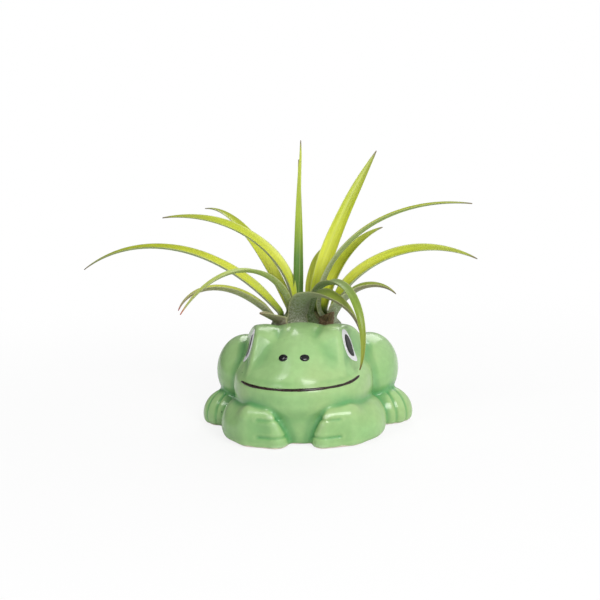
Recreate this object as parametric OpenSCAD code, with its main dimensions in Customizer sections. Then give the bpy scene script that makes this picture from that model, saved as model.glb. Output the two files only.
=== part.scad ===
/* [Frog] */
// Width of the frog across its hind feet
frog_width = 82; // [66:1:100]
// Length of the frog from snout to rump
frog_length = 76; // [62:1:92]
// Height of the frog at the brows
frog_height = 41; // [34:1:50]
// Thickness of the cast clay wall
wall = 4; // [3:0.5:5]
// Thickness of the clay under the pocket
floor_t = 5; // [4:0.5:6]
// Height of the rounded foot edge that the frog stands on
foot_edge = 1.2; // [0.8:0.1:2]

/* [Pocket] */
// Radius of the mouth that the plant drops into
mouth_r = 14.5; // [11:0.5:17]
// How far the middle of the mouth lies behind the middle of the frog
mouth_back = 9; // [7:0.5:11]
// Radius of the rounded lip round the mouth
lip_r = 1.6; // [1:0.1:2.2]

/* [Face] */
// Turn of the head to its right, in degrees
head_turn = 3; // [0:1:5]
// Height of an eye
eye_h = 12; // [9:0.2:14]
// Width of an eye
eye_w = 8.2; // [7:0.2:11]
// Height of the pupil, as a share of the eye's
pupil_share = 0.65; // [0.4:0.05:0.8]
// How far the enamel of the face stands proud of the glaze
enamel_proud = 0.4; // [0.2:0.05:0.7]
// Width of the painted smile's line
smile_line = 0.9; // [0.6:0.1:1.4]
// Half the width of the smile
smile_reach = 22; // [17:0.5:24]
// Height of the middle of the smile above the shelf
smile_z = 22.4; // [20:0.1:23.5]
// How far the corner of the smile rises on the frog's left
smile_rise = 1.6; // [0.4:0.1:3]
// How far the corner of the smile rises on the frog's right
smile_rise_right = 0.5; // [0.4:0.1:3]
// Half the distance between the nostrils
nostril_x = 4; // [2.5:0.5:6]
// Height of the nostrils above the shelf
nostril_z = 32.6; // [30:0.2:35]
// Width of a nostril
nostril_w = 3.2; // [2:0.2:4]

/* [Plant] */
// Gap between the plant's root stock and the mouth's edge
seat_gap = 0.3; // [0.2:0.05:0.5]
// Length of every leaf, as a share of the lengths listed below
leaf_size = 1; // [0.7:0.05:1.2]
// Width of a full leaf at its widest
leaf_width = 7.4; // [5:0.2:8]
// Thickness of a leaf along its middle
leaf_t = 1.1; // [0.9:0.1:1.6]

/* [Hidden] */
GLAZE = [0.62, 0.82, 0.5];
EYE_WHITE = [0.95, 0.95, 0.96];
BLACK = [0.05, 0.05, 0.06];
SMILE = [0.16, 0.1, 0.07];
LEAF_GREEN = [0.66, 0.76, 0.24];
ROOT_STOCK = [0.55, 0.55, 0.38];

// The frog's clay is worked out as lumps at this nominal size, and then stretched to the size above
nominal = [82, 76, 41];
stretch = [frog_width / nominal.x, frog_length / nominal.y, frog_height / nominal.z];
least_stretch = min(stretch.x, stretch.y, stretch.z);
// So high a radius that the lump is an upright column
column = 1000;

// Each lump of clay: its middle and its three radii
head = [[0, -9, 19], [25, 29.2, 19.8]];
forehead = [[0, -10, 30], [9.5, 19.2, 10.8]];
cheek = [[12.2, -12.5, 19.5], [13, 16.5, 9.5]];
jaw = [[0, -10, 18], [25.3, 28.4, column]];
chest = [[0, -10, 9], [21, 25, 20]];
torso = [[0, 9, 16.5], [26.5, 29, 20.5]];
brow = [[14, -12, 28.5], [15, 17.5, 12.6]];
arm = [[20, -15.5, 5], [11.4, 17.5, 10.6]];
haunch = [[24.5, 10, 19.3], [11.2, 17.5, 13.4]];
hind_foot = [[29.5, 2.5, 3.5], [11.5, 10.4, 10]];
// The block of the paw: its middle, half its size, its corner radius and its turn
paw = [[11.4, -28, 5.8], [9, 9.8, 9.6], 4.5, 20];
// Each flat that trims a lump: a point of it and the way it faces
eye_lean = 17;
eye_forward = 14;
eye_out = [cos(eye_lean) * cos(eye_forward), -cos(eye_lean) * sin(eye_forward), sin(eye_lean)];
eye_flat = [[18.4, -16.5, 33.8], eye_out];
temple_flat = [[20, -15, 32], eye_out];
brow_front = [[11, -24.2, 34], [-0.06, -0.89, 0.45]];
snout_side = [[11, -24.3, 33.5], [0.4, -0.45, 0.8]];
paw_inside = [[2.8, -33, 1.5], [-0.87, -0.05, 0.48]];
jaw_low = 13.2;
eye_middle = [18.7, -15.9, 34.3];
// The grooves between the fingers of a paw: their heights, how far out they run and their radius
finger_grooves = [10.9, 4.3];
finger_reach = 15.5;
finger_groove_r = 0.8;
// Each upright plane that a groove between two hind toes lies in: the way it faces and its distance.
// The grooves start this far out along their planes
toe_grooves = [[[0.745, 0.667, 0], 21.95], [[0.662, 0.75, 0], 23.3]];
toe_reach = 22.5;
toe_groove_r = 0.7;

function turned(p, deg) = [p.x * cos(deg) - p.y * sin(deg), p.x * sin(deg) + p.y * cos(deg), p.z];
function mirrored_x(p) = [abs(p.x), p.y, p.z];
function heading(azimuth, rise) = [sin(azimuth) * cos(rise), -cos(azimuth) * cos(rise), sin(rise)];
function unit(v) = v / norm(v);

// How far p lies outside a lump, a rounded block and a flat
function off_lump(p, lump) =
    let (q = p - lump[0], r = lump[1],
        k0 = norm([q.x / r.x, q.y / r.y, q.z / r.z]),
        k1 = norm([q.x / (r.x * r.x), q.y / (r.y * r.y), q.z / (r.z * r.z)]))
    k1 < 0.000001 ? -min(r) : k0 * (k0 - 1) / k1;
function off_block(p, block) =
    let (q = turned(p - block[0], -block[3]), h = block[1], r = block[2],
        d = [abs(q.x) - h.x + r, abs(q.y) - h.y + r, abs(q.z) - h.z + r])
    norm([max(d.x, 0), max(d.y, 0), max(d.z, 0)]) + min(max(d), 0) - r;
function off_flat(p, flat) = (p - flat[0]) * unit(flat[1]);

// Two forms blended with a fillet of about size k, and one cut by another with a rounded edge
function blended(a, b, k) = let (h = max(k - abs(a - b), 0)) min(a, b) - h * h / (4 * k);
function cut_to(a, b, k) = -blended(-a, -b, k);

// The lip runs level across the face and turns up at its corners
function lip_height(x) =
    smile_z + (x < 0 ? smile_rise_right : smile_rise) * pow(min(abs(x) / smile_reach, 1), 8);

// The head turns a little, and the cheeks and the jaw stay with the body
function off_head(p) =
    let (q = mirrored_x(turned(p, head_turn)), s = mirrored_x(p),
        trimmed = cut_to(cut_to(off_lump(q, head), off_flat(q, temple_flat), 3), off_flat(q, snout_side), 4),
        skull = blended(trimmed, off_lump(q, forehead), 4),
        brows = cut_to(cut_to(off_lump(q, brow), off_flat(q, brow_front), 1.5), off_flat(q, eye_flat), 1.8),
        lower_jaw = cut_to(cut_to(off_lump(s, jaw), p.z - lip_height(p.x), 3), jaw_low - p.z, 4))
    blended(blended(blended(skull, off_lump(s, cheek), 6), lower_jaw, 2.4), brows, 1.2);

// A finger groove follows the mitt's skin at its height, and a toe groove the foot's skin in its plane
function off_arm(p) =
    let (mitt = cut_to(off_block(p, paw), off_flat(p, paw_inside), 2),
        grooves = min([for (z = finger_grooves) norm([p.z - z, mitt]) - finger_groove_r]))
    cut_to(blended(off_lump(p, arm), mitt, 6), -max(grooves, p.x - finger_reach), finger_groove_r);

function off_foot(p) =
    let (foot = off_lump(p, hind_foot),
        grooves = min([for (g = toe_grooves)
            max(norm([p * g[0] - g[1], foot]) - toe_groove_r, toe_reach - cross(p, g[0]).z)]))
    cut_to(foot, -grooves, toe_groove_r);

// The trunk without limbs, which the pocket inside follows
function off_trunk(p) =
    blended(blended(off_lump(p, head), off_lump(mirrored_x(p), cheek), 7),
        blended(off_lump(p, torso), off_lump(p, chest), 8), 7);

// The whole frog at its nominal size
function off_frog(p) =
    let (q = mirrored_x(p),
        body = blended(off_head(p), blended(off_lump(p, torso), off_lump(p, chest), 8), 7))
    blended(blended(blended(body, off_arm(q), 1.6), off_lump(q, haunch), 2), off_foot(q), 1.6);

// p at the nominal size, and the frog's form and its pocket at the size asked for
function stretched(p) = [p.x * stretch.x, p.y * stretch.y, p.z * stretch.z];
function unstretched(p) = [p.x / stretch.x, p.y / stretch.y, p.z / stretch.z];
function off_skin(p) = off_frog(unstretched(p)) * least_stretch;
function off_lining(p) = max(off_trunk(unstretched(p)) * least_stretch + wall, floor_t - p.z);

// The point where a line that comes in from outside towards p meets the skin
march_from = 75;
march_step = 0.8;
close_enough = 0.01;
function to_skin(p, back, d = march_from, left = 60) =
    let (f = off_skin(p + back * d))
    f < close_enough || left == 0 ? p + back * d : to_skin(p, back, d - march_step * f, left - 1);
function to_lining(p, ahead, d = 0, left = 60) =
    let (f = -off_lining(p + ahead * d))
    f < close_enough || left == 0 ? p + ahead * d : to_lining(p, ahead, d + march_step * f, left - 1);
function skin_normal(p, h = 0.2) =
    unit([
        off_skin(p + [h, 0, 0]) - off_skin(p - [h, 0, 0]),
        off_skin(p + [0, h, 0]) - off_skin(p - [0, h, 0]),
        off_skin(p + [0, 0, h]) - off_skin(p - [0, 0, h])
    ]);

// A point of the straight head, where it lies once the head is turned and stretched
function on_head(p) = stretched(turned(p, -head_turn));

// The frog is cast as meridians round the mouth's axis
hub = [0, mouth_back * stretch.y, 14 * stretch.z];
meridians = 96;
outside_rows = 34;
lip_rows = 3;
pocket_rows = 8;
front_crowding = 0.62;
foot_inset = 1;
neck_drop = wall;

// Meridians stand closer together at the face than at the rump
function meridian_angle(i) =
    let (t = 2 * i / meridians, u = t <= 1 ? t : 2 - t,
        a = 180 * (front_crowding * u + (1 - front_crowding) * u * u))
    t <= 1 ? a : -a;
function ring_point(azimuth, r, z) = [r * sin(azimuth), hub.y - r * cos(azimuth), z];
function meridian(azimuth) =
    let (edge = to_skin([0, hub.y, foot_edge], heading(azimuth, 0)),
        edge_r = norm([edge.x, edge.y - hub.y]),
        brim = to_skin(ring_point(azimuth, mouth_r + 2 * lip_r, 0), [0, 0, 1]).z,
        low = atan((foot_edge - hub.z) / edge_r),
        high = atan((brim - hub.z) / (mouth_r + 2 * lip_r)),
        neck_z = brim - lip_r - neck_drop,
        neck = atan((neck_z - hub.z) / mouth_r),
        straight_down = -88)
    [
        ring_point(azimuth, edge_r - foot_inset, 0),
        for (j = [0:outside_rows]) to_skin(hub, heading(azimuth, low + (high - low) * j / outside_rows)),
        for (j = [1:lip_rows])
            let (a = 90 + 90 * (j - 1) / (lip_rows - 1))
            ring_point(azimuth, mouth_r + lip_r + lip_r * cos(a), brim - lip_r + lip_r * sin(a)),
        ring_point(azimuth, mouth_r, neck_z),
        for (j = [1:pocket_rows])
            to_lining(hub, heading(azimuth, neck + (straight_down - neck) * j / pocket_rows))
    ];

module frog_body() {
    rings = [for (i = [0:meridians - 1]) meridian(meridian_angle(i))];
    rows = len(rings[0]);
    points = [
        for (ring = rings, p = ring) p,
        [0, hub.y, 0],
        [0, hub.y, floor_t]
    ];
    under = meridians * rows;
    well = under + 1;
    faces = [
        for (i = [0:meridians - 1])
            let (a = i * rows, b = ((i + 1) % meridians) * rows)
            each [
                [under, a, b],
                for (j = [0:rows - 2]) each [[a + j, a + j + 1, b + j + 1], [a + j, b + j + 1, b + j]],
                [well, b + rows - 1, a + rows - 1]
            ]
    ];
    color(GLAZE) polyhedron(points, faces);
}

// A drop of enamel fired onto the glaze at p, facing n, with its long way up and down
enamel_sunk = 0.4;
module enamel_drop(p, n, high, wide, proud) {
    translate(p - n * enamel_sunk)
        rotate([0, acos(n.z), atan2(n.y, n.x)])
            scale([high / 2, wide / 2, proud + enamel_sunk])
                sphere(r = 1, $fn = 48);
}

// side is 1 for the frog's left eye and -1 for its right
function eye_facing(side) = on_head([side * eye_out.x, eye_out.y, eye_out.z]);
function eye_place(side) =
    let (n = unit(eye_facing(side)), p = on_head([side * eye_middle.x, eye_middle.y, eye_middle.z]))
    to_skin(p - n * 6, n, 14);

module eye_white(side) {
    color(EYE_WHITE)
        enamel_drop(eye_place(side), unit(eye_facing(side)), eye_h, eye_w, enamel_proud);
}

module pupil(side) {
    n = unit(eye_facing(side));
    color(BLACK)
        enamel_drop(eye_place(side) + n * enamel_proud, n, eye_h * pupil_share, eye_w * pupil_share,
            enamel_proud / 2);
}

function nostril_place(side) =
    to_skin(on_head([side * nostril_x, 0, nostril_z]), on_head([0, -1, 0]), 45);

module nostril(side) {
    n = skin_normal(nostril_place(side));
    color(BLACK)
        enamel_drop(nostril_place(side), n, nostril_w * 0.8, nostril_w, enamel_proud);
}

// The smile is one line of dark enamel along the lip, drawn from corner to corner
smile_rings = 32;
smile_sides = 6;
smile_point = function (t)
    let (x = smile_reach * sin(90 * t))
    to_skin([x * stretch.x, 0, lip_height(x) * stretch.z], [0, -1, 0], 45);

module smile() {
    line = [for (i = [0:smile_rings]) smile_point(2 * i / smile_rings - 1)];
    points = [
        for (i = [0:smile_rings])
            let (p = line[i], n = skin_normal(p),
                along = unit(line[min(i + 1, smile_rings)] - line[max(i - 1, 0)]),
                across = unit(cross(n, along)),
                taper = 0.35 + 0.65 * sin(180 * i / smile_rings))
            for (k = [0:smile_sides - 1])
                let (a = 360 * k / smile_sides)
                p + across * (cos(a) * smile_line / 2 * taper)
                    + n * (sin(a) * enamel_proud * 0.8 * taper - 0.1)
    ];
    faces = [
        [for (k = [0:smile_sides - 1]) k],
        for (i = [0:smile_rings - 1], k = [0:smile_sides - 1])
            let (a = i * smile_sides + k, b = i * smile_sides + (k + 1) % smile_sides)
            each [[a, a + smile_sides, b + smile_sides], [a, b + smile_sides, b]],
        [for (k = [smile_sides - 1:-1:0]) smile_rings * smile_sides + k]
    ];
    color(SMILE) polyhedron(points, faces);
}

// The root stock: the tight bulb of leaf bases, which hangs in the mouth down to its dry roots
seat_r = mouth_r - seat_gap;
nominal_seat_r = 14.2;
seat_z = 38.5 * stretch.z;
crown_slope = 0.62;
crown_z = seat_z + crown_slope * seat_r;
leaf_sunk = 1.4;
root_tip_z = floor_t + 13 * stretch.z;

module root_stock() {
    color(ROOT_STOCK)
        translate([0, hub.y, 0])
            rotate_extrude($fn = 96)
                polygon([
                    [0, root_tip_z],
                    [seat_r * 0.2, root_tip_z],
                    [seat_r * 0.42, root_tip_z + 5],
                    [seat_r * 0.72, seat_z - 10],
                    [seat_r * 0.93, seat_z - 4],
                    [seat_r, seat_z - 1],
                    [seat_r * 0.97, seat_z + 0.4],
                    [seat_r * 0.1, crown_z - crown_slope * seat_r * 0.1],
                    [0, crown_z]
                ]);
}

// Each leaf: its name, the plan angle and radius where it leaves the crown, how steeply it rises there
// and at its tip, how late it bends, its length, how far it swings round, its share of the full width
// and how far it is rolled over along its length
leaves = [
    ["leaf_far_left", 163, 9.5, 46, -34, 1.2, 98.5, -2, 0.68, -12],
    ["leaf_left", 172, 5, 103, -6, 0.63, 71, 4, 0.82, -16],
    ["leaf_back_left", 138, 8, 53, -7, 2.4, 67, -3, 0.76, 0],
    ["leaf_front_left", 234, 8, 85, -46, 0.78, 71, -9, 0.5, 0],
    ["leaf_low_left", 194, 11, 43, -64, 2.1, 46, 0, 0.95, 0],
    ["leaf_upright", 125, 4.3, 92, 97, 1, 66, 0, 0.34, 0],
    ["leaf_upright_back", 98, 5, 84, 82, 1, 58, 0, 0.36, 0],
    ["leaf_tall_right", 33, 4.5, 94, 51, 0.35, 67.5, 9, 0.82, 45],
    ["leaf_back", 82, 8, 112, 22, 0.38, 35, -29, 0.7, 30],
    ["leaf_long_right", 347, 5.5, 98, -5, 0.64, 83, 2, 0.5, 8],
    ["leaf_short_right", 32, 8, 72, 17, 1.4, 43, -6, 0.86, 15],
    ["leaf_far_right", 8, 9.5, 68, -26, 0.93, 69, -5, 0.85, 22],
    ["leaf_low_right", 343, 11, 61, -43, 1.67, 32.5, 15, 1, 0],
    ["leaf_front", 282, 9, 86, -82, 0.88, 43, 103, 1.1, 0],
    ["leaf_drooping", 305, 6.5, 79, -125, 0.98, 68, -11, 0.57, 0],
    ["dry_leaf_left", 222, 11.5, 32, 26, 1, 12, 0, 0.7, 0],
    ["dry_leaf_right", 318, 11.5, 20, 40, 1, 9, 0, 0.7, 0]
];
leaf_rings = 15;
leaf_tip = 0.3;

// The leaves reach out in proportion with the frog, so that those that hang over its face stay clear of it
function leaf_along(leaf, s) =
    let (rise = leaf[3] + (leaf[4] - leaf[3]) * pow(s, leaf[5]), plan = leaf[1] + leaf[7] * pow(s, 1.5))
    [cos(rise) * cos(plan) * stretch.x, cos(rise) * sin(plan) * stretch.y, sin(rise)];
function leaf_line(leaf) =
    let (r = leaf[2] * seat_r / nominal_seat_r, step = leaf[6] * leaf_size / leaf_rings,
        root = [r * cos(leaf[1]), hub.y + r * sin(leaf[1]), crown_z - crown_slope * r - leaf_sunk])
    [for (i = 0, p = root;
        i <= leaf_rings;
        p = p + leaf_along(leaf, (i + 0.5) / leaf_rings) * step, i = i + 1) p];
// A leaf widens from its base to a third of its length, and then narrows to its tip
function leaf_span(leaf, s) =
    leaf_width * leaf[8] * (0.62 + 0.38 * sin(90 * min(1, 3 * s))) * pow(1 - pow(s, 2.8), 0.9) + leaf_tip;
// A leaf's section is a shallow channel, thickest along its middle
function leaf_section(w, deep, t) = [
    [-w / 2, deep], [-w / 4, deep * 0.3], [0, 0], [w / 4, deep * 0.3], [w / 2, deep],
    [w * 0.3, deep * 0.4 - t * 0.8], [0, -t], [-w * 0.3, deep * 0.4 - t * 0.8]
];

module leaf(leaf) {
    line = leaf_line(leaf);
    sides = len(leaf_section(1, 1, 1));
    points = [
        for (i = [0:leaf_rings])
            let (s = i / leaf_rings, w = leaf_span(leaf, s), along = unit(leaf_along(leaf, s)),
                plan = leaf[1] + leaf[7] * pow(s, 1.5), level = [-sin(plan), cos(plan), 0],
                flat_across = unit(level - (level * along) * along), flat_up = cross(along, flat_across),
                across = flat_across * cos(leaf[9]) + flat_up * sin(leaf[9]), up = cross(along, across))
            for (q = leaf_section(w, w * (0.32 - 0.12 * s), leaf_t * (1 - 0.7 * s)))
                line[i] + across * q.x + up * q.y
    ];
    faces = [
        [for (k = [0:sides - 1]) k],
        for (i = [0:leaf_rings - 1], k = [0:sides - 1])
            let (a = i * sides + k, b = i * sides + (k + 1) % sides)
            each [[a, a + sides, b + sides], [a, b + sides, b]],
        [for (k = [sides - 1:-1:0]) leaf_rings * sides + k]
    ];
    color(LEAF_GREEN) polyhedron(points, faces);
}

frog_body();
eye_white(1);  // eye_white_left
eye_white(-1);  // eye_white_right
pupil(1);  // pupil_left
pupil(-1);  // pupil_right
nostril(1);  // nostril_left
nostril(-1);  // nostril_right
smile();
root_stock();
for (l = leaves)
    leaf(l);
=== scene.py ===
"""Looks of the air plant holder: a glazed clay frog and the air plant that sits loose in its back."""

import math

import bmesh
import bpy
import numpy as np
from mathutils import Matrix, Vector


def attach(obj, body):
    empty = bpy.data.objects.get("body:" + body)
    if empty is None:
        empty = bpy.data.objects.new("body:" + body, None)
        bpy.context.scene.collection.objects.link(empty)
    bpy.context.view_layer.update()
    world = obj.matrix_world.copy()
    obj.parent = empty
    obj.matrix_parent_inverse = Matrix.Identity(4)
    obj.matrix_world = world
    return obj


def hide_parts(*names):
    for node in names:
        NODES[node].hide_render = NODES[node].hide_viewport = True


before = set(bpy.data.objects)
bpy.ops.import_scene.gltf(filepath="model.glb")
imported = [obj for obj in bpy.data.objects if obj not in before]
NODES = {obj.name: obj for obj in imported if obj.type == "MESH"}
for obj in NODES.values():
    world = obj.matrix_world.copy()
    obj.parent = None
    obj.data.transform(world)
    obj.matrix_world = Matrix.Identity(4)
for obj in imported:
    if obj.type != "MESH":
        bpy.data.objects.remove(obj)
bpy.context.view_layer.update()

MM = 0.001


def tone(red, green, blue):
    """A colour as a painter's 0 to 255 steps, made linear."""
    steps = []
    for value in (red, green, blue):
        share = value / 255
        steps.append(share / 12.92 if share <= 0.04045 else ((share + 0.055) / 1.055) ** 2.4)
    return (*steps, 1.0)


def stops(*rows):
    """Rows of a place from 0 to 1 and a colour, for a ramp."""
    return tuple((row[0], tone(*row[1:])) for row in rows)


# The frog's clay form, in millimetres, on the lumps of the cast body
HEAD = ((0, -9, 19), (25, 29.2, 19.8))
FOREHEAD = ((0, -10, 30), (15, 19, 10.7))
CHEEK = ((12.2, -12.5, 19.5), (13, 16.5, 9.5))
JAW = ((0, -10, 18), (25.3, 28.4, 1000))
CHEST = ((0, -10, 9), (21, 25, 20))
TORSO = ((0, 9, 16.5), (26.5, 29, 20.5))
BROW = ((14, -12, 28.5), (15, 17.5, 12.6))
ARM = ((20, -15.5, 5), (11.4, 17.5, 10.6))
HAUNCH = ((24.5, 10, 19.3), (11.2, 17.5, 13.4))
HIND_FOOT = ((29.5, 2.5, 3.5), (11.5, 10.4, 10))
PAW_MIDDLE = (11.4, -28, 5.8)
PAW_HALF = (9, 9.8, 9.6)
PAW_CORNER = 4.5
PAW_TURN = 20
EYE_LEAN = 17
EYE_FORWARD = 14
EYE_OUT = (
    math.cos(math.radians(EYE_LEAN)) * math.cos(math.radians(EYE_FORWARD)),
    -math.cos(math.radians(EYE_LEAN)) * math.sin(math.radians(EYE_FORWARD)),
    math.sin(math.radians(EYE_LEAN)),
)
EYE_FLAT = ((18.4, -16.5, 33.8), EYE_OUT)
TEMPLE_FLAT = ((20, -15, 32), EYE_OUT)
BROW_FRONT = ((12.5, -24.5, 32.9), (0.24, -0.8, 0.55))
SNOUT_SIDE = ((11, -24, 33.2), (0.4, -0.45, 0.8))
PAW_INSIDE = ((2.8, -33, 1.5), (-0.87, -0.05, 0.48))
JAW_LOW = 13.2
EYE_MIDDLE = (18.8, -15.4, 33.9)
EYE_H = 13
EYE_W = 7.8
PUPIL_SHARE = 0.68
FINGER_GROOVES = (10.9, 4.3)
FINGER_REACH = 15.5
TOE_GROOVES = (((0.745, 0.667), 21.95), ((0.662, 0.75), 23.3))
TOE_REACH = 22.5
HEAD_TURN = 3
SMILE_Z = 22.4
SMILE_RISE = 1.6
SMILE_RISE_RIGHT = 0.5
SMILE_REACH = 22
MOUTH_R = 14.5
MOUTH_Y = 9
WALL = 4
FLOOR_T = 5
# How finely the clay is remeshed, and over what distance its creases and its broad hollows, which get
# painted shade, are felt
CLAY_STEP = 0.56
CREASE_REACH = 1.3
HOLLOW_REACH = 4.5
# How far the enamel stands proud or sinks in, the nostril beads, and half the smile's brush
WHITE_PROUD = 0.35
PUPIL_PROUD = 0.25
PUPIL_SUNK = 0.15
NOSTRIL_X = 4
NOSTRIL_Z = 32.6
NOSTRIL_H = 2.9
NOSTRIL_W = 3.6
NOSTRIL_PROUD = 0.6
BRUSH_HALF = 0.52


def turned(p, degrees):
    c, s = math.cos(math.radians(degrees)), math.sin(math.radians(degrees))
    return np.stack([p[:, 0] * c - p[:, 1] * s, p[:, 0] * s + p[:, 1] * c, p[:, 2]], 1)


def mirrored(p):
    return np.stack([np.abs(p[:, 0]), p[:, 1], p[:, 2]], 1)


def off_lump(p, lump):
    q = p - np.array(lump[0], float)
    r = np.array(lump[1], float)
    near = np.linalg.norm(q / r, axis=1)
    far = np.linalg.norm(q / (r * r), axis=1)
    return near * (near - 1) / np.maximum(far, 1e-6)


def off_flat(p, flat):
    n = np.array(flat[1], float)
    return (p - np.array(flat[0], float)) @ (n / np.linalg.norm(n))


def off_paw(p):
    q = np.abs(turned(p - np.array(PAW_MIDDLE), -PAW_TURN)) - np.array(PAW_HALF) + PAW_CORNER
    return np.linalg.norm(np.maximum(q, 0), axis=1) + np.minimum(q.max(axis=1), 0) - PAW_CORNER


def blended(a, b, k):
    h = np.maximum(k - np.abs(a - b), 0)
    return np.minimum(a, b) - h * h / (4 * k)


def cut_to(a, b, k):
    return -blended(-a, -b, k)


def lip_height(x):
    rise = np.where(x < 0, SMILE_RISE_RIGHT, SMILE_RISE)
    return SMILE_Z + rise * np.minimum(np.abs(x) / SMILE_REACH, 1) ** 8


def off_head(p):
    q, s = mirrored(turned(p, HEAD_TURN)), mirrored(p)
    skull = cut_to(off_lump(q, HEAD), off_flat(q, TEMPLE_FLAT), 3)
    skull = cut_to(skull, off_flat(q, SNOUT_SIDE), 4)
    skull = blended(skull, off_lump(q, FOREHEAD), 6)
    brows = cut_to(off_lump(q, BROW), off_flat(q, BROW_FRONT), 1.5)
    brows = cut_to(brows, off_flat(q, EYE_FLAT), 1.2)
    jaw = cut_to(off_lump(s, JAW), p[:, 2] - lip_height(p[:, 0]), 3)
    jaw = cut_to(jaw, JAW_LOW - p[:, 2], 4)
    face = blended(blended(skull, off_lump(s, CHEEK), 6), jaw, 2.4)
    return blended(face, brows, 0.9)


def off_arm(p):
    mitt = cut_to(off_paw(p), off_flat(p, PAW_INSIDE), 2)
    arm = blended(off_lump(p, ARM), mitt, 6)
    for z in FINGER_GROOVES:
        groove = np.hypot(p[:, 2] - z, mitt) - 0.28
        arm = cut_to(arm, -np.maximum(groove, p[:, 0] - FINGER_REACH), 0.8)
    return arm


def off_foot(p):
    foot = off_lump(p, HIND_FOOT)
    whole = foot
    for (nx, ny), away in TOE_GROOVES:
        groove = np.hypot(p[:, 0] * nx + p[:, 1] * ny - away, whole) - 0.36
        start = TOE_REACH - p[:, 0] * ny + p[:, 1] * nx
        foot = cut_to(foot, -np.maximum(groove, start), 0.8)
    return foot


def off_skin(p):
    """How far each point lies outside the frog's glazed skin, without its pocket."""
    q = mirrored(p)
    trunk = blended(off_lump(p, TORSO), off_lump(p, CHEST), 8)
    body = blended(off_head(p), trunk, 5)
    body = blended(body, off_arm(q), 1.2)
    body = blended(body, off_lump(q, HAUNCH), 2)
    return blended(body, off_foot(q), 1.6)


def off_clay(p):
    """The cast shell: the skin, less the pocket with its rounded lip, on a flat foot with a soft edge."""
    trunk = blended(off_lump(p, TORSO), off_lump(p, CHEST), 8)
    skull = blended(off_lump(p, HEAD), off_lump(mirrored(p), CHEEK), 7)
    lining = np.maximum(blended(skull, trunk, 7) + WALL, FLOOR_T - p[:, 2])
    tube = np.maximum(np.hypot(p[:, 0], p[:, 1] - MOUTH_Y) - MOUTH_R, 20 - p[:, 2])
    shell = cut_to(off_skin(p), -blended(lining, tube, 2), 3)
    return cut_to(shell, -p[:, 2], 1.8)


def slope(off, p, h=0.06):
    g = np.empty_like(p)
    for axis in range(3):
        step = np.zeros(3)
        step[axis] = h
        g[:, axis] = (off(p + step) - off(p - step)) / (2 * h)
    return g


def pressed(off, p, rounds=5):
    """Moves points onto the surface that off describes."""
    for _ in range(rounds):
        g = slope(off, p)
        steep = np.maximum((g * g).sum(1), 0.2)
        move = off(p) / steep
        p = p - g * np.clip(move, -0.6, 0.6)[:, None]
    return p


def to_skin(p, back, start=45.0, rounds=70):
    """Where lines that come in along -back towards p meet the skin."""
    back = np.broadcast_to(back, p.shape)
    d = np.full(len(p), start)
    for _ in range(rounds):
        d = d - 0.8 * off_skin(p + back * d[:, None])
    return p + back * d[:, None]


def unit(v):
    v = np.array(v, float)
    return v / np.linalg.norm(v, axis=-1, keepdims=True)


def places_of(mesh):
    co = np.empty(len(mesh.vertices) * 3)
    mesh.vertices.foreach_get("co", co)
    return co.reshape(-1, 3) / MM


def place(mesh, p):
    mesh.vertices.foreach_set("co", (p * MM).ravel())
    mesh.update()


def keep(mesh, name, values):
    """Stores one number for each vertex, for the materials to read."""
    layer = mesh.attributes.new(name, "FLOAT", "POINT")
    layer.data.foreach_set("value", np.ascontiguousarray(values, dtype=np.float32))


def keep_vectors(mesh, name, values):
    layer = mesh.attributes.new(name, "FLOAT_VECTOR", "POINT")
    layer.data.foreach_set("vector", np.ascontiguousarray(values, dtype=np.float32).ravel())


def piece(name, mesh, body, slot, material, *nodes):
    for polygon in mesh.polygons:
        polygon.use_smooth = True
    mesh.materials.clear()
    mesh.materials.append(material)
    obj = bpy.data.objects.new(name, mesh)
    bpy.context.scene.collection.objects.link(obj)
    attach(obj, body)
    if nodes:
        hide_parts(*nodes)
    return obj


# Materials

def paint(name):
    material = bpy.data.materials.new(name)
    material.use_nodes = True
    return material, Paint(material.node_tree)


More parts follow.
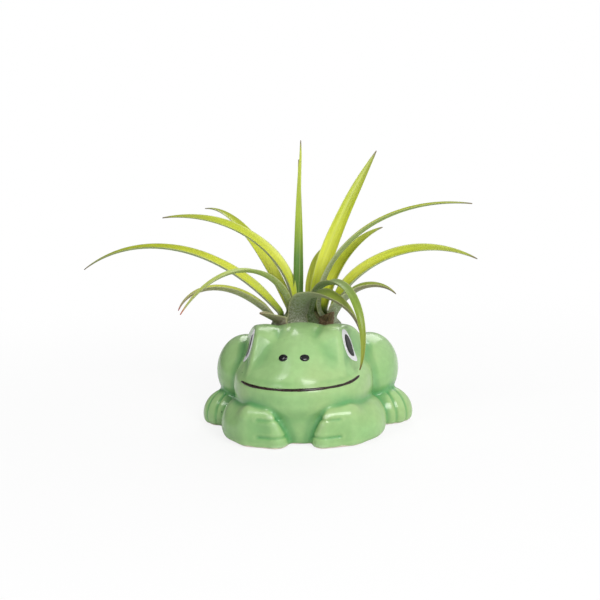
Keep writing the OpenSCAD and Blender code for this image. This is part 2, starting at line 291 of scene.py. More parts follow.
class Paint:
    """Short ways to add and join the nodes of one material."""

    def __init__(self, tree):
        self.nodes = tree.nodes
        self.links = tree.links
        self.shader = tree.nodes["Principled BSDF"]

    def set(self, node, key, value):
        if isinstance(value, bpy.types.NodeSocket):
            self.links.new(value, node.inputs[key])
        else:
            node.inputs[key].default_value = value

    def shade(self, **values):
        for key, value in values.items():
            self.set(self.shader, key.replace("_", " ").title().replace("Ior", "IOR"), value)

    def add(self, kind, inputs=None, **settings):
        node = self.nodes.new("ShaderNode" + kind)
        for key, value in settings.items():
            setattr(node, key, value)
        for key, value in (inputs or {}).items():
            self.set(node, key, value)
        return node

    def value(self, name):
        return self.add("Attribute", attribute_name=name).outputs["Fac"]

    def vector(self, name):
        return self.add("Attribute", attribute_name=name).outputs["Vector"]

    def object(self):
        return self.add("TexCoord").outputs["Object"]

    def noise(self, vector, scale, detail=3.0, roughness=0.5):
        node = self.add(
            "TexNoise", {"Vector": vector, "Scale": scale, "Detail": detail, "Roughness": roughness}
        )
        return node.outputs["Fac"]

    def stretch(self, vector, scale):
        node = self.add("VectorMath", {0: vector, 1: scale}, operation="MULTIPLY")
        return node.outputs["Vector"]

    def math(self, operation, a, b=0.0, clamp=False):
        return self.add("Math", {0: a, 1: b}, operation=operation, use_clamp=clamp).outputs[0]

    def spread(self, value, low, high, to_low=0.0, to_high=1.0, smooth=True):
        node = self.add(
            "MapRange",
            {"Value": value, "From Min": low, "From Max": high, "To Min": to_low, "To Max": to_high},
            interpolation_type="SMOOTHSTEP" if smooth else "LINEAR",
        )
        return node.outputs["Result"]

    def mix(self, share, a, b, blend_type="MIX"):
        node = self.add("Mix", {0: share, 6: a, 7: b}, data_type="RGBA", blend_type=blend_type)
        return node.outputs[2]

    def ramp(self, value, *stops):
        node = self.add("ValToRGB", {"Fac": value})
        marks = node.color_ramp.elements
        while len(marks) < len(stops):
            marks.new(0.5)
        for mark, (position, colour) in zip(marks, stops):
            mark.position = position
            mark.color = colour
        return node.outputs["Color"]

    def bump(self, height, depth, strength=1.0, normal=None):
        inputs = {"Height": height, "Distance": depth, "Strength": strength}
        if normal is not None:
            inputs["Normal"] = normal
        return self.add("Bump", inputs).outputs["Normal"]


def green_glaze():
    """Mint glaze, deeper in the creases and pale on the edges, over cream clay at the foot, with painted
    light where the skin faces up and on its rounds, and painted shade in its broad hollows.
    """
    material, p = paint("green_glaze")
    at = p.object()
    cloud = p.noise(at, 55, 4)
    fine = p.noise(at, 420, 3)
    body = p.ramp(
        cloud,
        (0.3, tone(132, 181, 114)),
        (0.55, tone(145, 190, 122)),
        (0.75, tone(156, 198, 130)),
    )
    # Painted light: a paler green where the skin faces up and where it rounds over
    body = p.mix(p.spread(p.value("high"), 0.0, 1.0), body, tone(168, 205, 140))
    # Painted shade: a darker green in the skin's broad hollows
    body = p.mix(p.value("hollow_shade"), body, tone(116, 172, 110))
    olive = p.spread(p.noise(at, 34, 2), 0.5, 0.72, 0.0, 0.35)
    body = p.mix(olive, body, tone(158, 174, 112))
    body = p.mix(p.value("pool"), body, tone(92, 162, 98))
    body = p.mix(p.value("thin"), body, tone(214, 229, 200))
    grain = p.spread(fine, 0.35, 0.7, 0.97, 1.03)
    body = p.mix(1.0, body, p.add("CombineXYZ", {0: grain, 1: grain, 2: grain}).outputs[0], "MULTIPLY")
    cells = p.add("TexVoronoi", {"Vector": at, "Scale": 190.0, "Randomness": 1.0})
    pick = p.add("SeparateColor", {"Color": cells.outputs["Color"]})
    chosen = p.math("GREATER_THAN", pick.outputs[0], 0.72)
    size = p.spread(pick.outputs[1], 0, 1, 0.03, 0.075, False)
    near = p.math("LESS_THAN", cells.outputs["Distance"], size)
    speck = p.math("MULTIPLY", chosen, near)
    body = p.mix(p.math("MULTIPLY", speck, 0.75), body, tone(58, 84, 50))
    clay = p.ramp(p.noise(at, 900, 4), (0.35, tone(226, 206, 190)), (0.7, tone(240, 226, 212)))
    bare = p.value("bare")
    colour = p.mix(bare, body, clay)
    rough = p.spread(p.noise(at, 130, 3), 0.3, 0.7, 0.16, 0.26)
    rough = p.math("ADD", rough, p.math("MULTIPLY", bare, 0.5), True)
    dimple = p.bump(p.noise(at, 260, 2), 0.00006)
    pit = p.bump(p.math("SUBTRACT", 1.0, speck), 0.0002, 0.5, dimple)
    p.shade(base_color=colour, roughness=rough, ior=1.5, normal=pit)
    return material


def enamel(name, colour, rough=0.12, cloudy=0.0):
    material, p = paint(name)
    at = p.object()
    shade = tuple(c * (1 - cloudy) for c in colour[:3]) + (1.0,)
    p.shade(
        base_color=p.mix(p.spread(p.noise(at, 300, 3), 0.35, 0.65), colour, shade),
        roughness=p.spread(p.noise(at, 500, 2), 0.3, 0.7, rough, rough + 0.08),
        normal=p.bump(p.noise(at, 350, 2), 0.00003),
    )
    return material


def leaf_skin(name, upper, under, frost, tip):
    """A strap leaf: fine lengthwise grain, frosted with small scales, dry at the very tip, with painted
    light on its upper side and painted shade on its underside and towards its base.
    """
    material, p = paint(name)
    along = p.value("along")
    grain = p.vector("grain")
    side = p.spread(p.value("underside"), 0.42, 0.58)
    # Both ramps darken towards the leaf's base: partly its deeper green, partly painted shade near the
    # mouth
    face = p.ramp(along, *upper)
    back = p.ramp(along, *under)
    # Upper side against underside: partly the underside's own frost, partly painted light on the upper side
    # and painted shade below
    colour = p.mix(side, face, back)
    streak = p.noise(p.stretch(grain, (1.3, 0.05, 1.0)), 1.0, 3, 0.55)
    fibre = p.noise(p.stretch(grain, (3.2, 0.08, 1.0)), 1.0, 1)
    depth = p.spread(streak, 0.25, 0.75, 0.84, 1.1, False)
    depth = p.math("ADD", depth, p.spread(fibre, 0.3, 0.7, -0.05, 0.05))
    colour = p.mix(1.0, colour, p.add("CombineXYZ", {0: depth, 1: depth, 2: depth}).outputs[0], "MULTIPLY")
    scales = p.spread(p.noise(grain, 1.8, 2, 0.6), 0.35, 0.75)
    base = p.spread(along, 0.02, 0.6, 1.0, 0.1)
    amount = p.math("MULTIPLY", p.math("MULTIPLY", scales, base), p.spread(side, 0, 1, frost * 0.35, frost))
    colour = p.mix(amount, colour, tone(196, 199, 180))
    edge = p.spread(p.value("margin"), 0.84, 0.97)
    colour = p.mix(p.math("MULTIPLY", edge, 0.5), colour, tone(206, 212, 150))
    colour = p.mix(p.spread(along, 0.93, 1.0), colour, tip)
    # Down in the mouth the clasping bases go darker: partly their deeper green, partly painted shade in the
    # pocket
    colour = p.mix(p.spread(p.value("clasp"), 0.0, 0.9, 0.0, 0.5), colour, tone(62, 80, 38))
    rough = p.spread(amount, 0, 0.6, 0.42, 0.75)
    p.shade(
        base_color=colour,
        roughness=rough,
        normal=p.bump(p.noise(p.stretch(grain, (1.1, 0.03, 1.0)), 1.0, 0), 0.00008, 0.5),
    )
    return material


def dry_scale(name, dark, pale):
    """Papery brown and grey bases and roots."""
    material, p = paint(name)
    grain = p.vector("grain")
    streak = p.noise(p.stretch(grain, (1.4, 0.12, 1.0)), 1.0, 5, 0.6)
    fleck = p.noise(p.object(), 2200, 3)
    colour = p.ramp(streak, (0.3, dark), (0.7, pale))
    colour = p.mix(p.spread(fleck, 0.5, 0.8, 0, 0.5), colour, tone(185, 178, 160))
    p.shade(
        base_color=colour,
        roughness=0.8,
        normal=p.bump(streak, 0.0002, 0.8),
    )
    return material


GLAZE = green_glaze()
EYE_WHITE = enamel("white_enamel", tone(243, 243, 246), 0.14, 0.04)
BLACK = enamel("black_enamel", tone(22, 22, 25), 0.1, 0.2)
SMILE = enamel("smile_enamel", tone(52, 36, 28), 0.25, 0.5)

# Leaf colours from base to tip for the upper side and the underside: the upper sides carry painted light,
# and the darker bases are partly painted shade
BRIGHT_UPPER = stops(
    (0.0, 120, 150, 30),
    (0.1, 196, 208, 44),
    (0.3, 216, 222, 66),
    (0.6, 190, 202, 50),
    (0.92, 166, 178, 66),
)
BRIGHT_UNDER = stops(
    (0.0, 118, 132, 84),
    (0.15, 142, 152, 106),
    (0.4, 140, 162, 82),
    (0.75, 142, 164, 70),
    (0.95, 132, 138, 90),
)
LEAF_BRIGHT = leaf_skin("leaf_bright", BRIGHT_UPPER, BRIGHT_UNDER, 0.5, tone(125, 112, 82))
LEAF_DARK = leaf_skin(
    "leaf_dark",
    stops((0.0, 84, 118, 44), (0.3, 104, 146, 66), (0.55, 170, 192, 62), (0.9, 190, 200, 80)),
    stops((0.0, 74, 108, 40), (0.25, 96, 138, 70), (0.55, 140, 170, 74), (0.9, 176, 188, 90)),
    0.25,
    tone(120, 104, 70),
)
LEAF_FROSTED = leaf_skin(
    "leaf_frosted",
    stops((0.0, 120, 132, 86), (0.3, 124, 150, 70), (0.6, 150, 168, 60), (0.9, 140, 150, 60)),
    stops((0.0, 122, 130, 98), (0.3, 136, 150, 108), (0.6, 150, 140, 112), (0.9, 140, 124, 96)),
    0.9,
    tone(122, 104, 78),
)
LEAF_DROOPING = leaf_skin(
    "leaf_drooping",
    stops((0.0, 98, 128, 52), (0.3, 150, 172, 110), (0.6, 128, 156, 52), (0.9, 140, 150, 40)),
    stops((0.0, 96, 122, 60), (0.3, 140, 162, 110), (0.6, 118, 142, 62), (0.9, 140, 138, 60)),
    0.6,
    tone(112, 70, 50),
)
LEAF_FRONT_LEFT = leaf_skin(
    "leaf_front_left",
    stops((0.0, 96, 120, 36), (0.12, 146, 170, 40), (0.45, 162, 186, 66), (0.9, 176, 186, 100)),
    stops((0.0, 104, 124, 60), (0.15, 140, 158, 76), (0.45, 150, 172, 84), (0.9, 168, 176, 120)),
    0.5,
    tone(196, 110, 96),
)
LEAF_SOFT = leaf_skin(
    "leaf_soft",
    stops((0.0, 120, 130, 70), (0.3, 196, 204, 60), (0.65, 190, 198, 66), (0.92, 184, 180, 120)),
    stops((0.0, 130, 128, 108), (0.3, 152, 162, 96), (0.65, 160, 162, 112), (0.92, 170, 150, 120)),
    0.75,
    tone(190, 92, 92),
)
LEAF_DRY = leaf_skin(
    "leaf_dry",
    stops((0.0, 150, 128, 104), (0.4, 164, 146, 122), (0.8, 150, 138, 104), (1.0, 132, 110, 88)),
    stops((0.0, 152, 134, 112), (0.4, 166, 152, 130), (0.8, 152, 144, 112), (1.0, 132, 110, 88)),
    0.9,
    tone(120, 96, 72),
)
ROOT_STOCK = dry_scale("root_stock_scales", tone(74, 66, 38), tone(128, 130, 84))
ROOT_HAIR = dry_scale("root_fibres", tone(84, 62, 42), tone(138, 112, 82))


# The frog

def curvature(field, p, reach):
    """How a field bends about each point: above nought on an edge, below it in a crease."""
    bend = np.zeros(len(p))
    for axis in range(3):
        step = np.zeros(3)
        step[axis] = reach
        bend += field(p + step) + field(p - step) - 2 * field(p)
    return bend / (2 * reach * reach)


def tube(name, around, rings, depth):
    """A closed tube of even rings along Z, to be laid along a line."""
    bm = bmesh.new()
    bmesh.ops.create_cone(bm, cap_ends=True, segments=around, radius1=1, radius2=1, depth=depth)
    long_ways = [e for e in bm.edges if abs(e.verts[0].co.z - e.verts[1].co.z) > depth / 2]
    bmesh.ops.subdivide_edges(bm, edges=long_ways, cuts=rings - 1)
    mesh = bpy.data.meshes.new(name)
    bm.to_mesh(mesh)
    bm.free()
    return mesh


def frog():
    """The cast body, remeshed evenly and pressed onto its form."""
    mesh = NODES["frog_body"].data
    bm = bmesh.new()
    bm.from_mesh(mesh)
    bmesh.ops.remove_doubles(bm, verts=bm.verts, dist=0.000002)
    cast = bpy.data.meshes.new("cast")
    bm.to_mesh(cast)
    bm.free()
    blank = bpy.data.objects.new("blank", cast)
    bpy.context.scene.collection.objects.link(blank)
    even = blank.modifiers.new("even", "REMESH")
    even.mode = "VOXEL"
    even.voxel_size = CLAY_STEP * MM
    graph = bpy.context.evaluated_depsgraph_get()
    skin = bpy.data.meshes.new_from_object(blank.evaluated_get(graph))
    bpy.data.objects.remove(blank)

    edges = np.empty(len(skin.edges) * 2, dtype=np.int64)
    skin.edges.foreach_get("vertices", edges)
    a, b = edges.reshape(-1, 2).T
    p = pressed(off_clay, places_of(skin), 6)
    count = np.bincount(a, minlength=len(p)) + np.bincount(b, minlength=len(p))
    for _ in range(4):
        middle = np.zeros_like(p)
        np.add.at(middle, a, p[b])
        np.add.at(middle, b, p[a])
        middle /= count[:, None]
        n = unit(slope(off_clay, p))
        move = middle - p
        p = p + 0.6 * (move - (move * n).sum(1, keepdims=True) * n)
        p = pressed(off_clay, p, 2)
    p[:, 2] = np.maximum(p[:, 2], 0)
    place(skin, p)

    n = unit(slope(off_clay, p))
    bend = curvature(off_clay, p, CREASE_REACH)
    broad = curvature(off_skin, p + 0.6 * n, HOLLOW_REACH)
    for _ in range(3):
        soft = np.zeros(len(p))
        np.add.at(soft, a, bend[b])
        np.add.at(soft, b, bend[a])
        bend = 0.5 * bend + 0.5 * soft / count
    pool = np.clip((-bend - 0.04) / 0.3, 0, 1)
    thin = np.clip((bend - 0.22) / 0.35, 0, 1)
    ragged = 0.75 + 0.25 * np.sin(p[:, 0] * 0.9) * np.cos(p[:, 1] * 0.7)
    bare = np.clip((ragged - p[:, 2]) / 0.3, 0, 1) * (n[:, 2] < 0.4)
    keep(skin, "pool", pool ** 0.8)
    # Painted shade: how deep a broad hollow the skin lies in
    keep(skin, "hollow_shade", np.clip((-broad + 0.01) / 0.09, 0, 1) * 0.7)
    keep(skin, "thin", thin * 0.8)
    # Painted light: how far the skin faces up and rounds over, for a paler green there
    keep(skin, "high", np.clip(n[:, 2], 0, 1) * 0.5 + np.clip(bend / 0.12, 0, 1) * 0.5)
    keep(skin, "bare", bare)
    return piece("glazed_frog", skin, "frog", "green_glaze", GLAZE, "frog_body")


def head_turned(p):
    return turned(np.atleast_2d(np.array(p, float)), -HEAD_TURN)[0]


def drop(name, middle, facing, high, wide, proud, material, slot, node, lift=None, sunk=0.3):
    """A drop of enamel laid on the skin, its long way up and down, with a rounded edge."""
    facing = unit(facing)
    down = unit(np.cross(np.cross(facing, (0, 0, 1)), facing)) * -1
    aside = np.cross(facing, down)
    bm = bmesh.new()
    bmesh.ops.create_uvsphere(bm, u_segments=56, v_segments=28, radius=1)
    mesh = bpy.data.meshes.new(name)
    bm.to_mesh(mesh)
    bm.free()
    q = places_of(mesh) * MM
    flat = middle + q[:, :1] * down * high / 2 + q[:, 1:2] * aside * wide / 2
    base = to_skin(flat - facing * 6, facing, 14)
    crown = np.sqrt(np.clip(1 - (1 - q[:, 2] ** 2) ** 2, 0, 1))
    height = np.where(q[:, 2] > 0, crown * proud, -crown * sunk)
    if lift is not None:
        height = height + lift(q)
    place(mesh, base + facing * height[:, None])
    return piece(name, mesh, "frog", slot, material, node)


def eyes():
    for side, word in ((1, "left"), (-1, "right")):
        facing = head_turned((side * EYE_OUT[0], EYE_OUT[1], EYE_OUT[2]))
        middle = head_turned((side * EYE_MIDDLE[0], EYE_MIDDLE[1], EYE_MIDDLE[2]))
        drop(
            "white_of_eye_" + word, middle, facing, EYE_H, EYE_W, WHITE_PROUD,
            EYE_WHITE, "white_enamel", "eye_white_" + word,
        )

        def on_white(q):
            r = np.minimum((q[:, 0] ** 2 + q[:, 1] ** 2) * PUPIL_SHARE ** 2, 1)
            return WHITE_PROUD * np.sqrt(1 - r * r)

        drop(
            "black_of_eye_" + word, middle, facing, EYE_H * PUPIL_SHARE, EYE_W * PUPIL_SHARE,
            PUPIL_PROUD, BLACK, "black_enamel", "pupil_" + word, on_white, PUPIL_SUNK,
        )


def nostrils():
    for side, word in ((1, "left"), (-1, "right")):
        start = head_turned((side * NOSTRIL_X, 0, NOSTRIL_Z))
        front = head_turned((0, -1, 0))
        middle = to_skin(start[None, :], front, 45)[0]
        facing = unit(slope(off_skin, middle[None, :], 0.2)[0])
        drop(
            "nostril_bead_" + word, middle, facing, NOSTRIL_H, NOSTRIL_W, NOSTRIL_PROUD,
            BLACK, "black_enamel", "nostril_" + word,
        )


def smile():
    """One brushed line of enamel along the lip."""
    mesh = tube("smile_line", around=12, rings=150, depth=2)
    q = places_of(mesh) * MM
    t = q[:, 2]
    x = SMILE_REACH * np.sin(np.radians(90 * t))
    start = np.stack([x, np.zeros_like(x), lip_height(x)], 1)
    line = to_skin(start, np.array((0, -1, 0)), 45)
    n = unit(slope(off_skin, line, 0.2))
    nudge = np.stack([SMILE_REACH * np.sin(np.radians(90 * (t * 0.999 + 0.0005))), x * 0, x * 0], 1)
    ahead = to_skin(
        np.stack([nudge[:, 0] + 0.05, x * 0, lip_height(nudge[:, 0] + 0.05)], 1), np.array((0, -1, 0)), 45
    )
    along = unit(ahead - line)
    across = unit(np.cross(n, along))
    brush = 1 + 0.1 * np.sin(t * 9 + 1) + 0.05 * np.sin(t * 31)
    half = BRUSH_HALF * brush * (0.3 + 0.7 * np.sqrt(np.clip(1 - t ** 6, 0, 1)))
    lay = q[:, :1] * half[:, None]
    raised = q[:, 1:2] * 0.3 * half[:, None] * 2 - 0.02
    place(mesh, line + across * lay + n * raised)
    return piece("smile_line", mesh, "frog", "brown_enamel", SMILE, "smile")


# The plant. Each leaf: plan angle and radius where it leaves the crown, rise there and at its tip, how late
# it bends, length, swing, share of the full width and roll along its length
LEAVES = {
    "leaf_far_left": (163, 9.5, 46, -34, 1.2, 98.5, -2, 0.68, -12),
    "leaf_left": (172, 5, 103, -6, 0.63, 71, 4, 0.82, -16),
    "leaf_back_left": (138, 8, 53, -7, 2.4, 67, -3, 0.76, 0),
    "leaf_front_left": (234, 8, 85, -46, 0.78, 71, -9, 0.5, 0),
    "leaf_low_left": (194, 11, 43, -64, 2.1, 46, 0, 0.95, 0),
    "leaf_upright": (125, 4.3, 92, 97, 1, 66, 0, 0.34, 0),
    "leaf_upright_back": (98, 5, 84, 82, 1, 58, 0, 0.36, 0),
    "leaf_tall_right": (33, 4.5, 94, 51, 0.35, 67.5, 9, 0.82, 45),
    "leaf_back": (82, 8, 112, 22, 0.38, 35, -29, 0.7, 30),
    "leaf_long_right": (347, 5.5, 98, -5, 0.64, 83, 2, 0.5, 8),
    "leaf_short_right": (32, 8, 72, 17, 1.4, 43, -6, 0.86, 15),
    "leaf_far_right": (8, 9.5, 68, -26, 0.93, 69, -5, 0.85, 22),
    "leaf_low_right": (343, 11, 61, -43, 1.67, 32.5, 15, 1, 0),
    "leaf_front": (282, 9, 86, -82, 0.88, 43, 103, 1.1, 0),
    "leaf_drooping": (305, 6.5, 79, -125, 0.98, 68, -11, 0.57, 0),
    "dry_leaf_left": (222, 11.5, 32, 26, 1, 12, 0, 0.7, 0),
    "dry_leaf_right": (316, 11.5, 35, 62, 1, 7, 0, 0.7, 0),
}
LEAF_PAINT = {
    "leaf_low_left": LEAF_SOFT,
    "leaf_upright": LEAF_DARK,
    "leaf_upright_back": LEAF_DARK,
    "leaf_low_right": LEAF_FROSTED,
    "leaf_front": LEAF_FROSTED,
    "leaf_front_left": LEAF_FRONT_LEFT,
    "leaf_drooping": LEAF_DROOPING,
    "dry_leaf_left": LEAF_DRY,
    "dry_leaf_right": ROOT_HAIR,
}
LEAF_WIDTH = 7.4
LEAF_T = 1.1
SEAT_R = 14.2
SEAT_Z = 38.5
CROWN_SLOPE = 0.62
CROWN_Z = SEAT_Z + CROWN_SLOPE * SEAT_R
LEAF_SUNK = 1.4
# A leaf's route: its steps, where its blade begins, and how its clasping foot stands at the mouth
ROUTE_STEPS = 240
BLADE_START = 2.4
FOOT_R = 11.9
FOOT_SPREAD = 0.13
FOOT_LOW = 2.2
# By what share a leaf is broader at its base than the CAD leaf
BROAD_BASE = {"leaf_front": 0.2, "leaf_low_right": 0.35, "leaf_far_left": 0.1}
# How far a leaf's base stands aside in millimetres, and the share of its length that this fades over
SHIFT = {
    "leaf_front": (-4.4, 0.42),
    "leaf_upright": (-1.8, 0.9),
    "leaf_upright_back": (-1.8, 0.9),
    "leaf_drooping": (-1.5, 0.5),
}
# How wide each leaf clasps the bulb down at the mouth, in millimetres
CLASP = {
    "leaf_far_left": 6.5,
    "leaf_left": 6.5,
    "leaf_back_left": 6,
    "leaf_front_left": 5.5,
    "leaf_low_left": 7.5,
    "leaf_upright": 3.8,
    "leaf_upright_back": 3.6,
    "leaf_tall_right": 6.5,
    "leaf_back": 5,
    "leaf_long_right": 5,
    "leaf_short_right": 7,
    "leaf_far_right": 7,
    "leaf_low_right": 9,
    "leaf_front": 9.6,
    "leaf_drooping": 6.4,
    "dry_leaf_left": 8.5,
    "dry_leaf_right": 7.5,
}


def leaf_route(row, clasp_rings, blade_rings):
    """The rings of a leaf: from the mouth up the bulb (s -1 to 0), then out to its tip (s 0 to 1)."""
    plan, radius, start, end, late, length, swing = row[:7]
    fine = np.linspace(0, 1, ROUTE_STEPS + 1)
    middle = (fine[1:] + fine[:-1]) / 2
    rise = np.radians(start + (end - start) * middle ** late)
    turn = np.radians(plan + swing * middle ** 1.5)
    step = np.stack([np.cos(rise) * np.cos(turn), np.cos(rise) * np.sin(turn), np.sin(rise)], 1)
    step = step * length / ROUTE_STEPS
    out = np.array([math.cos(math.radians(plan)), math.sin(math.radians(plan)), 0])
    root = out * radius + (0, MOUTH_Y, CROWN_Z - CROWN_SLOPE * radius - LEAF_SUNK)
    path = np.vstack([root, root + np.cumsum(step, axis=0)])
    joined = BLADE_START / length
    s = joined + (1 - joined) * np.linspace(0, 1, blade_rings + 1)
    blade = np.stack([np.interp(s, fine, path[:, k]) for k in range(3)], 1)
    rise = np.radians(start + (end - start) * s ** late)
    turn = np.radians(plan + swing * s ** 1.5)
    along = np.stack([np.cos(rise) * np.cos(turn), np.cos(rise) * np.sin(turn), np.sin(rise)], 1)

    foot_r = FOOT_R + FOOT_SPREAD * radius
    foot = out * foot_r + (0, MOUTH_Y, SEAT_Z - FOOT_LOW)
    steep = math.radians(np.interp(start, (20, 90), (95, 140)))
    first = out * math.cos(steep) + np.array((0, 0, math.sin(steep)))
    reach = np.linalg.norm(blade[0] - foot) * 0.42
    a, b, c, d = foot, foot + first * reach, blade[0] - along[0] * reach, blade[0]
    t = np.linspace(0, 1, clasp_rings + 1)[:-1, None]
    clasp = a * (1 - t) ** 3 + 3 * b * t * (1 - t) ** 2 + 3 * c * t * t * (1 - t) + d * t ** 3
    way = 3 * (b - a) * (1 - t) ** 2 + 6 * (c - b) * t * (1 - t) + 3 * (d - c) * t * t
    share = np.concatenate([t[:, 0] - 1, s])
    heading = np.concatenate([np.full(clasp_rings, math.radians(plan)), turn])
    return share, np.vstack([clasp, blade]), np.vstack([unit(way), along]), heading


def leaf_mesh(name, row, number):
    """A tube drawn out along the leaf's route and flattened into a channelled blade."""
    clasp_rings, blade_rings = 14, 66
    rings = clasp_rings + blade_rings
    length, share, roll = row[5], row[7], row[8]
    mesh = tube(name, around=24, rings=rings, depth=1)
    q = places_of(mesh) * MM
    ring = np.rint((q[:, 2] + 0.5) * rings).astype(int)
    route, line, along, turn = leaf_route(row, clasp_rings, blade_rings)
    low, s = np.clip(-route, 0, 1), np.clip(route, 0, 1)
    level = np.stack([-np.sin(turn), np.cos(turn), np.zeros_like(s)], 1)
    flat_across = unit(level - (level * along).sum(1, keepdims=True) * along)
    rolled = np.radians(np.minimum(s * 6, 1) * roll + 5 * np.sin(s * 5 + number) * s)[:, None]
    across = flat_across * np.cos(rolled) + np.cross(along, flat_across) * np.sin(rolled)
    up = np.cross(along, across)
    wide = LEAF_WIDTH * share * (0.7 + 0.3 * np.sin(np.radians(90 * np.minimum(1, 3 * s))))
    wide = wide * np.power(1 - np.power(s, 2.8), 0.9) * (1 + 0.02 * np.sin(s * 17 + number * 2)) + 0.3
    wide = wide + (CLASP[name] - wide) * (low ** 1.2)
    wide = wide * (1 + BROAD_BASE.get(name, 0) * np.clip(1 - s / 0.35, 0, 1) ** 0.5)
    if name.startswith("dry"):
        wide = CLASP[name] * np.power(1 - np.power(s, 3), 0.8) + 0.3
        low = low * 0
    deep = wide * (0.32 - 0.12 * s) * np.minimum(1, 0.35 + 4 * s)
    thick = LEAF_T * (1 - 0.7 * s) * 0.9
    angle = np.arctan2(q[:, 1], q[:, 0])
    u = np.cos(angle)
    lower = np.sin(angle) < 0
    height = deep[ring] * np.abs(u) ** 1.5
    height = height - np.where(lower, thick[ring] * np.power(np.clip(1 - np.abs(u) ** 3, 0, 1), 0.8), 0)
    aside, until = SHIFT.get(name, (0, 1))
    line[:, 0] += aside * np.clip(1 - s / until, 0, 1) ** 0.8
    place(mesh, line[ring] + across[ring] * (u * wide[ring] / 2)[:, None] + up[ring] * height[:, None])
    keep(mesh, "along", s[ring])
    keep(mesh, "clasp", low[ring])
    over = np.sin(angle)
    keep(mesh, "underside", 0.5 - 0.5 * np.sign(np.round(over, 4)) * np.sqrt(np.abs(over)))
    keep(mesh, "margin", np.abs(u))
    down = np.where(low > 0, -low * 6, s * length)
    keep_vectors(
        mesh, "grain", np.stack([u * wide[ring] / 2, down[ring], np.full(len(u), number * 7.3)], 1)
    )
    return mesh


def leaves():
    for number, (name, row) in enumerate(LEAVES.items()):
        dry = name.startswith("dry")
        material = LEAF_PAINT.get(name, LEAF_BRIGHT)
        slot = "dry_leaf" if dry else "leaf_green"
        piece(name.replace("leaf", "blade"), leaf_mesh(name, row, number), "plant", slot, material, name)


def root_stock():
    """The bulb of wrapped bases, turned from its profile and faintly ridged."""
    profile = (
        (0.0, 18.0), (2.8, 18.0), (4.6, 19.6), (6.0, 23.0), (8.4, 26.0), (10.2, 28.5),
        (12.2, 32.5), (13.3, 35.0), (13.6, 36.2), (13.0, 37.2), (10.0, 38.8), (5.0, 41.4),
        (1.4, 43.2), (0.0, 43.6),
    )
    bm = bmesh.new()
    rim = [bm.verts.new((r, MOUTH_Y, z)) for r, z in profile]
    for first, second in zip(rim, rim[1:]):
        bm.edges.new((first, second))
    bmesh.ops.spin(
        bm, geom=bm.verts[:] + bm.edges[:], cent=(0, MOUTH_Y, 0), axis=(0, 0, 1), angle=math.tau,
        steps=64, use_merge=True,
    )
    bmesh.ops.remove_doubles(bm, verts=bm.verts, dist=0.001)
    bmesh.ops.recalc_face_normals(bm, faces=bm.faces)
    bmesh.ops.subdivide_edges(bm, edges=bm.edges, cuts=1, use_grid_fill=True)
    mesh = bpy.data.meshes.new("bulb")
    bm.to_mesh(mesh)
    bm.free()
    p = places_of(mesh) * MM
    angle = np.arctan2(p[:, 1] - MOUTH_Y, p[:, 0])
    r = np.hypot(p[:, 0], p[:, 1] - MOUTH_Y)
    ridge = 0.96 + 0.035 * np.cos(angle * 9 + p[:, 2] * 0.3)
    p[:, 0] = r * ridge * np.cos(angle)
    p[:, 1] = MOUTH_Y + r * ridge * np.sin(angle)
    place(mesh, p)
    keep_vectors(mesh, "grain", np.stack([angle * 10, p[:, 2], angle * 0], 1))
    piece("bulb", mesh, "plant", "leaf_base", ROOT_STOCK, "root_stock")


def root_hairs():
    """Wiry dead roots that hang from the bulb's end into the pocket."""
    rng = np.random.default_rng(4)
    around, rings, count, apart = 6, 14, 26, 4.0
    hair_top, hair_r = 19.2, 0.24
    bm = bmesh.new()
    for number in range(count):
        strand = bmesh.ops.create_cone(
            bm, cap_ends=True, segments=around, radius1=1, radius2=1, depth=1,
            matrix=Matrix.Translation((apart * number, 0, 0)),
        )
        ends = set(strand["verts"])
        long_ways = [
            e for e in bm.edges if e.verts[0] in ends and abs(e.verts[0].co.z - e.verts[1].co.z) > 0.5
        ]
        bmesh.ops.subdivide_edges(bm, edges=long_ways, cuts=rings - 1)
    mesh = bpy.data.meshes.new("root_fibres")
    bm.to_mesh(mesh)
    bm.free()
    q = places_of(mesh) * MM
    number = np.rint(q[:, 0] / apart).astype(int)
    q[:, 0] -= apart * number
    s = 0.5 - q[:, 2]
    plan = rng.uniform(0, math.tau, count)[number]
    start = rng.uniform(0.5, 3.6, count)[number]
    length = rng.uniform(6.5, 11.5, count)[number]
    spread = rng.uniform(0.0, 5.5, count)[number]
    curl = rng.uniform(0.4, 1.3, count)[number]
    phase = rng.uniform(0, math.tau, count)[number]
    r = start + spread * s ** 1.6
    x = r * np.cos(plan) + curl * s * np.sin(5 * s + phase)
    y = MOUTH_Y + r * np.sin(plan) + curl * s * np.cos(6 * s + phase)
    z = hair_top - length * s + 0.5 * np.sin(7 * s + phase) * s
    thick = hair_r * (1 - 0.6 * s)
    place(mesh, np.stack([x + q[:, 0] * thick, y + q[:, 1] * thick, z], 1))
    keep_vectors(mesh, "grain", np.stack([q[:, 0], s * 9, number * 2.3], 1))
    piece("root_fibres", mesh, "plant", "dry_leaf", ROOT_HAIR)


# The studio

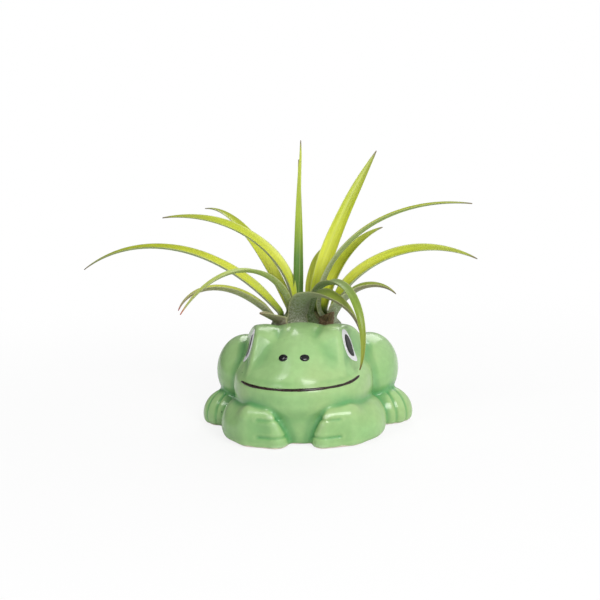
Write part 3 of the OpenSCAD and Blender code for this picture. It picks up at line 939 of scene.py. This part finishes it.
def photo_camera():
    data = bpy.data.cameras.new("photo_camera")
    camera = bpy.data.objects.new("photo_camera", data)
    bpy.context.scene.collection.objects.link(camera)
    bpy.context.scene.camera = camera
    away, pixel, photo_width = 0.6, 0.000385, 600
    looks_at = Vector((-0.0012, 0, 0.0484))
    a, e, roll = math.radians(5), math.radians(11), math.radians(-2)
    back = Vector((math.sin(a) * math.cos(e), -math.cos(a) * math.cos(e), math.sin(e)))
    right = Vector((math.cos(a), math.sin(a), 0))
    up = back.cross(right)
    aside = right * math.cos(roll) + up * math.sin(roll)
    above = up * math.cos(roll) - right * math.sin(roll)
    camera.matrix_world = Matrix.Translation(looks_at + back * away) @ Matrix(
        (aside, above, back)
    ).transposed().to_4x4()
    data.sensor_width = 36
    data.lens = data.sensor_width * away / (pixel * photo_width)
    data.clip_start = 0.01
    data.clip_end = 20


def lamp(name, place_at, aim, size, power):
    data = bpy.data.lights.new(name, "AREA")
    data.energy = power
    data.size = size
    obj = bpy.data.objects.new(name, data)
    obj.location = place_at
    obj.rotation_euler = (Vector(aim) - Vector(place_at)).to_track_quat("-Z", "Y").to_euler()
    bpy.context.scene.collection.objects.link(obj)


def studio():
    world = bpy.data.worlds.new("studio")
    bpy.context.scene.world = world
    world.use_nodes = True
    nodes, links = world.node_tree.nodes, world.node_tree.links
    path = nodes.new("ShaderNodeLightPath")
    seen = nodes.new("ShaderNodeMath")
    seen.operation = "MAXIMUM"
    links.new(path.outputs["Is Camera Ray"], seen.inputs[0])
    links.new(path.outputs["Is Transmission Ray"], seen.inputs[1])
    aim = nodes.new("ShaderNodeSeparateXYZ")
    links.new(nodes.new("ShaderNodeTexCoord").outputs["Generated"], aim.inputs[0])
    room = nodes.new("ShaderNodeMapRange")
    room.inputs["From Min"].default_value = -0.6
    room.inputs["From Max"].default_value = 0.7
    room.inputs["To Min"].default_value = 0.1
    room.inputs["To Max"].default_value = 0.6
    links.new(aim.outputs["X"], room.inputs["Value"])
    strength = nodes.new("ShaderNodeMapRange")
    strength.inputs["To Max"].default_value = 1.0
    links.new(seen.outputs[0], strength.inputs["Value"])
    links.new(room.outputs["Result"], strength.inputs["To Min"])
    links.new(strength.outputs["Result"], nodes["Background"].inputs["Strength"])
    nodes["Background"].inputs["Color"].default_value = (1, 1, 1, 1)

    bm = bmesh.new()
    bmesh.ops.create_grid(bm, x_segments=1, y_segments=1, size=3)
    mesh = bpy.data.meshes.new("floor")
    bm.to_mesh(mesh)
    bm.free()
    floor = bpy.data.objects.new("floor", mesh)
    floor.location = (0, 0, -0.0002)
    bpy.context.scene.collection.objects.link(floor)
    material, p = paint("floor_paper")
    p.shade(base_color=(0.9, 0.9, 0.9, 1), roughness=0.9)
    path = p.add("LightPath")
    glow = p.add("Emission", {"Color": (1, 1, 1, 1), "Strength": 1.0})
    away = p.add("VectorMath", {0: p.object()}, operation="LENGTH").outputs["Value"]
    share = p.spread(away, 0.08, 0.3, 0.84, 1.0)
    blend = p.add("MixShader", {0: p.math("MULTIPLY", path.outputs["Is Camera Ray"], share)})
    p.links.new(p.shader.outputs[0], blend.inputs[1])
    p.links.new(glow.outputs[0], blend.inputs[2])
    p.links.new(blend.outputs[0], p.nodes["Material Output"].inputs["Surface"])
    mesh.materials.append(material)

    lamp("key_softbox", (0.34, -0.62, 0.5), (0, 0, 0.02), 0.36, 4.3)
    lamp("fill_softbox", (-0.45, -0.37, 0.69), (0, 0, 0.03), 0.26, 1.3)
    lamp("back_softbox", (0.05, 0.6, 0.5), (0, 0, 0.05), 0.5, 2.2)
    bpy.context.scene.view_settings.view_transform = "Standard"


frog()
eyes()
nostrils()
smile()
leaves()
root_stock()
root_hairs()
photo_camera()
studio()
